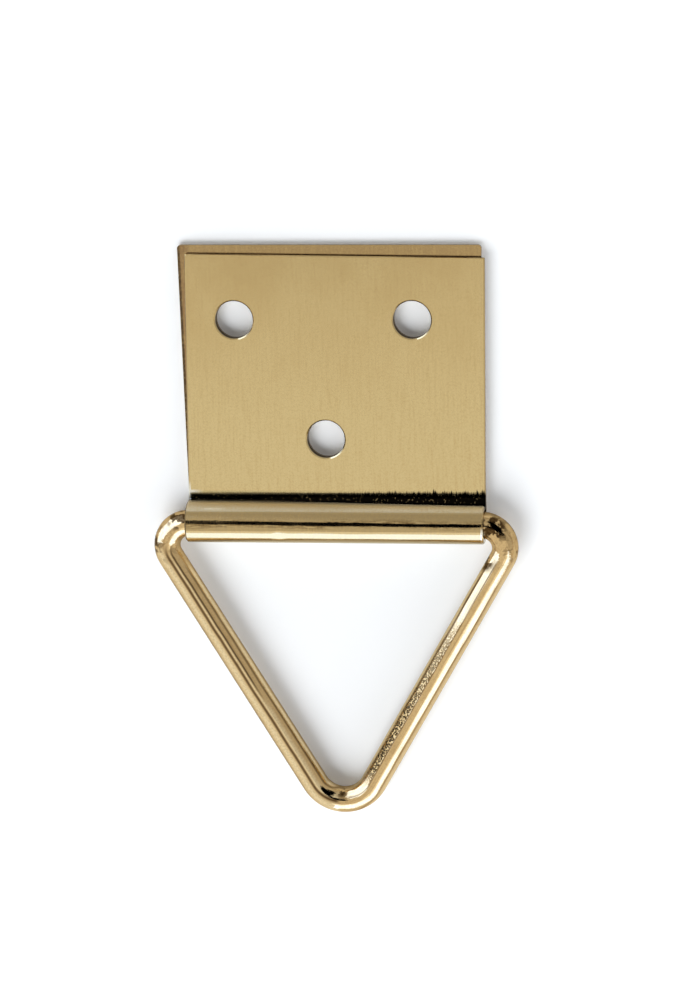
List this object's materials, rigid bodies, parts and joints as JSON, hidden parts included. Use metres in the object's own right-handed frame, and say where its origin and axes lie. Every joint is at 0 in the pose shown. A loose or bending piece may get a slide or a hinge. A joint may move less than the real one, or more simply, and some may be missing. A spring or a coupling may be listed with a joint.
{
  "type": "triangle ring picture hanger",
  "caption": "Brass picture hanger: a wire triangle swings in the fold of a doubled sheet plate, which screws to the back of a frame through holes in both leaves.",
  "frame": {"origin": "on the axis of the lower screw hole, at the plate's back face", "axes": "+X along the wire's straight side, to the right seen from the front; +Y up the plate, away from the ring; +Z out of the front"},
  "size_m": [0.0368, 0.058, 0.0039],
  "materials": {
    "plate": "satin, bright in the fold",
    "wire": "polished, streaked lengthwise"
  },
  "bodies": {
    "plate": {"folded_plate": "plate"},
    "ring": {"triangle_ring": "wire"}
  },
  "joints": [
    {"name": "ring_swing", "type": "hinge", "parent": "plate", "child": "ring", "pos_m": [0.00086, -0.00845, 0.00194], "axis": [-1, 0, 0], "range_deg": [-138, 172]}
  ]
}
